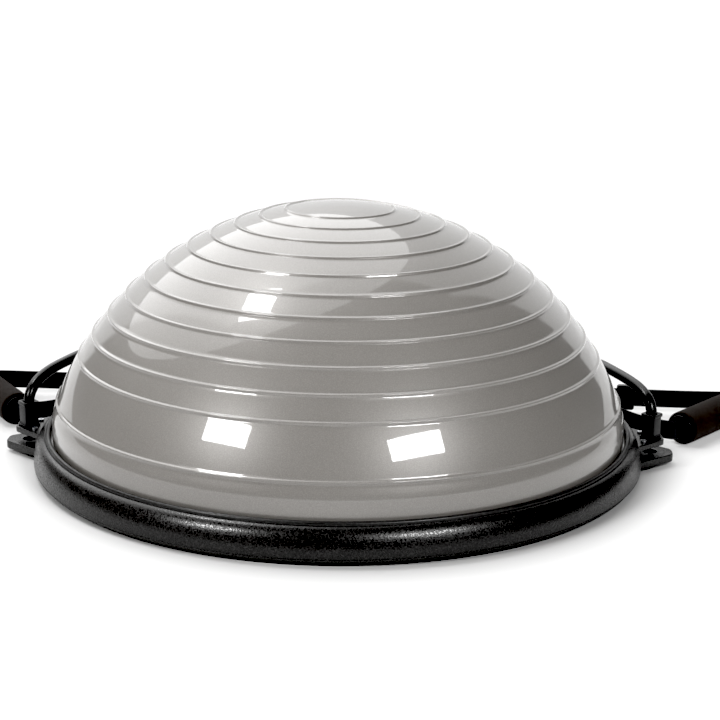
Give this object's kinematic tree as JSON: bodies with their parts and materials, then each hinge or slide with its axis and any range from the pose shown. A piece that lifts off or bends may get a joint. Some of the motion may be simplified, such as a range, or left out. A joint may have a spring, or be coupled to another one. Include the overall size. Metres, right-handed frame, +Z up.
{
  "type": "balance dome trainer",
  "caption": "Half-ball balance trainer: a ribbed air dome on a round platform, with a resistance tube and a foam-grip handle clipped to an ear on each side.",
  "frame": {"origin": "on the floor, at the centre of the round platform's underside", "axes": "+Z up through the dome's crown, +X from one anchor ear to the other, +Y to the side where the handles lie"},
  "size_m": [0.8823, 0.7035, 0.2645],
  "materials": {
    "dome_vinyl": "gloss",
    "soft_vinyl": "satin",
    "base_plastic": "pebbled satin",
    "clip_plastic": "satin",
    "hidden_plastic": "satin",
    "foot_rubber": "matte",
    "tube_rubber": "satin",
    "ring_steel": "satin",
    "screw_steel": "satin",
    "webbing": "woven",
    "foam": "closed-cell foam"
  },
  "bodies": {
    "base": {"dome_skin": "dome_vinyl", "air_membrane": "dome_vinyl", "valve_seat": "soft_vinyl", "base_rim": "base_plastic", "clamp_ring": "hidden_plastic", "base_plate": "base_plastic", "rubber_feet": "foot_rubber", "base_screws": "screw_steel", "ear_screws": "screw_steel"},
    "valve_plug": {"valve_plug": "soft_vinyl"},
    "clip_left": {"clip_left": "clip_plastic", "swivel_washer_left": "screw_steel", "swivel_screw_left": "screw_steel", "tube_plug_left": "hidden_plastic", "tube_left": "tube_rubber"},
    "ring_left": {"end_plug_left": "hidden_plastic", "end_cap_left": "clip_plastic", "d_ring_left": "ring_steel"},
    "handle_left": {"strap_left": "webbing"},
    "grip_left": {"grip_core_left": "hidden_plastic", "grip_caps_left": "clip_plastic", "foam_sleeve_left": "foam"},
    "slider_left": {"strap_slider_left": "clip_plastic"},
    "clip_right": {"clip_right": "clip_plastic", "swivel_washer_right": "screw_steel", "swivel_screw_right": "screw_steel", "tube_plug_right": "hidden_plastic", "tube_right": "tube_rubber"},
    "ring_right": {"end_plug_right": "hidden_plastic", "end_cap_right": "clip_plastic", "d_ring_right": "ring_steel"},
    "handle_right": {"strap_right": "webbing"},
    "grip_right": {"grip_core_right": "hidden_plastic", "grip_caps_right": "clip_plastic", "foam_sleeve_right": "foam"},
    "slider_right": {"strap_slider_right": "clip_plastic"}
  },
  "joints": [
    {"name": "valve_plug_pull", "type": "slide", "parent": "base", "child": "valve_plug", "axis": [0, 0, -1], "range_m": [0, 0.01]},
    {"name": "clip_swivel_left", "type": "hinge", "parent": "base", "child": "clip_left", "pos_m": [-0.321, 0, 0.027], "axis": [0, 0, 1], "range_deg": [0, 90]},
    {"name": "handle_lift_left", "type": "slide", "parent": "clip_left", "child": "ring_left", "axis": [0, 0, 1], "range_m": [0, 0.35], "deforming": ["tube_left"]},
    {"name": "strap_swing_left", "type": "hinge", "parent": "ring_left", "child": "handle_left", "pos_m": [-0.256, 0.193, 0.018], "axis": [0, 0, 1], "range_deg": [-55, 0]},
    {"name": "grip_spin_left", "type": "hinge", "parent": "handle_left", "child": "grip_left", "pos_m": [-0.351, 0.081, 0.018], "axis": [-0.5299, 0.848, 0], "continuous": true},
    {"name": "slider_travel_left", "type": "slide", "parent": "handle_left", "child": "slider_left", "axis": [-0.9986, 0.0523, 0], "range_m": [-0.02, 0.02]},
    {"name": "clip_swivel_right", "type": "hinge", "parent": "base", "child": "clip_right", "pos_m": [0.321, 0, 0.027], "axis": [0, 0, 1], "range_deg": [-90, 0]},
    {"name": "handle_lift_right", "type": "slide", "parent": "clip_right", "child": "ring_right", "axis": [0, 0, 1], "range_m": [0, 0.35], "deforming": ["tube_right"]},
    {"name": "strap_swing_right", "type": "hinge", "parent": "ring_right", "child": "handle_right", "pos_m": [0.264, 0.179, 0.018], "axis": [0, 0, 1], "range_deg": [0, 55]},
    {"name": "grip_spin_right", "type": "hinge", "parent": "handle_right", "child": "grip_right", "pos_m": [0.36, 0.06, 0.018], "axis": [0.6252, 0.7804, 0], "continuous": true},
    {"name": "slider_travel_right", "type": "slide", "parent": "handle_right", "child": "slider_right", "axis": [0.9962, -0.0872, 0], "range_m": [-0.02, 0.02]}
  ]
}
